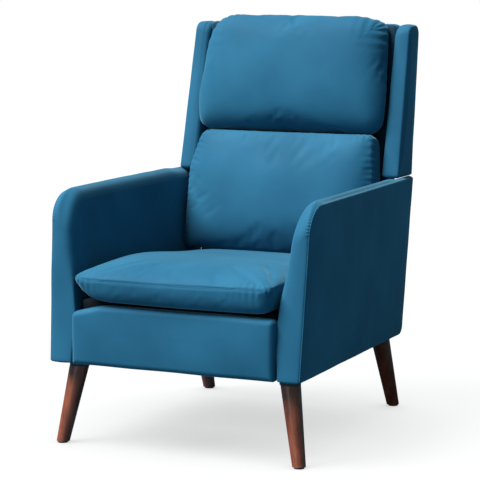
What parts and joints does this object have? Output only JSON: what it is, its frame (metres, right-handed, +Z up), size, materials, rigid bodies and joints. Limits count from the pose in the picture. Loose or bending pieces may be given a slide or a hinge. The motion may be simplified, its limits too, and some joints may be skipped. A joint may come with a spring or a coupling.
{
  "type": "recliner armchair",
  "caption": "High-back upholstered armchair with slab arms, wings, loose-look cushions and splayed wooden legs; leaning back slides the seat and swings the front panel out as a footrest.",
  "frame": {"origin": "on the floor, below the middle of the chair's overall box", "axes": "+Z up, -Y the way the sitter faces, +X towards the viewer's right when the chair is seen from the front"},
  "size_m": [0.7006, 0.893, 1.0619],
  "materials": {
    "velvet": "short-pile velvet, deep teal blue",
    "leg_wood": "dark walnut stain, satin lacquer",
    "frame_wood": "raw plywood and hardwood",
    "steel": "zinc-plated pressed steel",
    "black_plastic": "black nylon",
    "dust_fabric": "thin non-woven black cloth",
    "felt": "grey needled felt",
    "foam": "cut upholstery foam"
  },
  "bodies": {
    "base": {"arm_frame_left": "frame_wood", "arm_frame_right": "frame_wood", "arm_foam_left": "foam", "arm_foam_right": "foam", "arm_cover_left": "velvet", "arm_cover_right": "velvet", "leg_front_left": "leg_wood", "leg_front_right": "leg_wood", "leg_rear_left": "leg_wood", "leg_rear_right": "leg_wood", "leg_collars": "black_plastic", "foot_glides": "black_plastic", "leg_plates": "steel", "hanger_bolts": "steel", "base_plate_left": "steel", "base_plate_right": "steel", "mounting_rails": "frame_wood", "mounting_screws": "steel", "rear_rail": "frame_wood", "rear_cover": "velvet", "stretcher": "frame_wood", "dust_cover": "dust_fabric"},
    "seat": {"seat_rail_left": "steel", "seat_rail_right": "steel", "seat_side_board_left": "frame_wood", "seat_side_board_right": "frame_wood", "seat_front_board": "frame_wood", "seat_rear_board": "frame_wood", "seat_springs": "steel", "spring_clips": "steel", "seat_deck": "felt", "glide_rollers": "black_plastic", "seat_pins": "steel", "seat_cushion": "velvet"},
    "back": {"back_post_left": "frame_wood", "back_post_right": "frame_wood", "back_rails": "frame_wood", "back_springs": "steel", "wing_boards": "frame_wood", "wing_dowels": "steel", "wing_cover_left": "velvet", "wing_cover_right": "velvet", "back_cover": "velvet", "lumbar_cushion": "velvet", "head_pillow": "velvet", "back_bracket_left": "steel", "back_bracket_right": "steel", "guide_rollers": "black_plastic"},
    "main_arms": {"main_arms": "steel", "torque_tube": "steel", "main_arm_pins": "steel"},
    "control_links": {"control_links": "steel", "control_link_pins": "steel"},
    "forearms": {"forearms": "steel", "forearm_pins": "steel"},
    "tie_rods": {"tie_rods": "steel"},
    "footrest": {"footrest_board": "frame_wood", "footrest_cushion": "velvet", "footrest_brackets": "steel", "footrest_pins": "steel"}
  },
  "joints": [
    {"name": "back_recline", "type": "hinge", "parent": "seat", "child": "back", "pos_m": [0, 0.2885, 0.33], "axis": [-1, 0, 0], "range_deg": [0, 32]},
    {"name": "seat_glide", "type": "slide", "parent": "base", "child": "seat", "axis": [0, -0.8944, 0.4472], "range_m": [0, 0.0671]},
    {"name": "main_arm_turn", "type": "hinge", "parent": "seat", "child": "main_arms", "pos_m": [0, -0.3755, 0.325], "axis": [-1, 0, 0], "range_deg": [0, 138.01]},
    {"name": "control_link_turn", "type": "hinge", "parent": "seat", "child": "control_links", "pos_m": [0, -0.33595, 0.30571], "axis": [-1, 0, 0], "range_deg": [0, 138.01]},
    {"name": "forearm_turn", "type": "hinge", "parent": "main_arms", "child": "forearms", "pos_m": [0, -0.2466, 0.24445], "axis": [-1, 0, 0], "range_deg": [-138.01, 0]},
    {"name": "tie_rod_turn", "type": "hinge", "parent": "main_arms", "child": "tie_rods", "pos_m": [0, -0.23051, 0.25946], "axis": [-1, 0, 0], "range_deg": [-149.81, 0]},
    {"name": "footrest_turn", "type": "hinge", "parent": "forearms", "child": "footrest", "pos_m": [0, -0.37063, 0.30495], "axis": [-1, 0, 0], "range_deg": [0, 92.01]}
  ],
  "couplings": [
    {"joint": "seat_glide", "follows": "back_recline", "m_per_rad": 0.12011},
    {"joint": "main_arm_turn", "follows": "back_recline", "ratio": 4.3125},
    {"joint": "control_link_turn", "follows": "back_recline", "ratio": 4.3125},
    {"joint": "forearm_turn", "follows": "back_recline", "ratio": -4.3125},
    {"joint": "tie_rod_turn", "follows": "back_recline", "ratio": -4.6813},
    {"joint": "footrest_turn", "follows": "back_recline", "ratio": 2.875}
  ]
}
